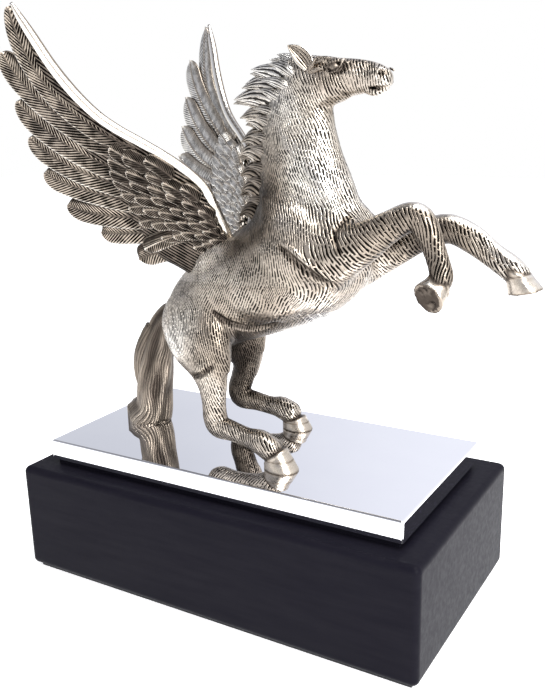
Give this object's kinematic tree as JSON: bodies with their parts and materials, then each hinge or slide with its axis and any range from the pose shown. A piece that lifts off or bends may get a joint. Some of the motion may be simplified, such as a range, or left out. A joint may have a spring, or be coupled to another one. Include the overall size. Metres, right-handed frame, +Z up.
{
  "type": "hood ornament",
  "caption": "Rearing winged horse cast in plated metal, standing on its hind hooves and tail on a mirror plate over a black wooden block.",
  "frame": {"origin": "the middle of the felt pad's underside, which is the face the ornament rests on", "axes": "+Z up, +X the way the horse looks along the block's length, +Y the horse's left"},
  "size_m": [0.1673, 0.1004, 0.1911],
  "materials": {
    "silver_casting": "silver plate over chased hair and feathers, darkened in the grooves",
    "mirror_sheet": "mirror polish",
    "black_wood": "satin black lacquer",
    "packer_board": "plain board",
    "felt": "short felt",
    "steel_hardware": "bright zinc"
  },
  "bodies": {
    "root": {"body_casting": "silver_casting", "right_foreleg": "silver_casting", "left_foreleg": "silver_casting", "right_hind_leg": "silver_casting", "left_hind_leg": "silver_casting", "right_wing": "silver_casting", "left_wing": "silver_casting", "tail": "silver_casting", "display_plate": "mirror_sheet", "plate_packer": "packer_board", "base_block": "black_wood", "base_felt": "felt", "foreleg_dowels": "steel_hardware", "hind_leg_dowels": "steel_hardware", "right_wing_dowels": "steel_hardware", "left_wing_dowels": "steel_hardware", "tail_dowel": "steel_hardware", "hoof_studs": "steel_hardware", "tail_stud": "steel_hardware", "stud_washers": "steel_hardware", "stud_nuts": "steel_hardware"}
  },
  "joints": []
}
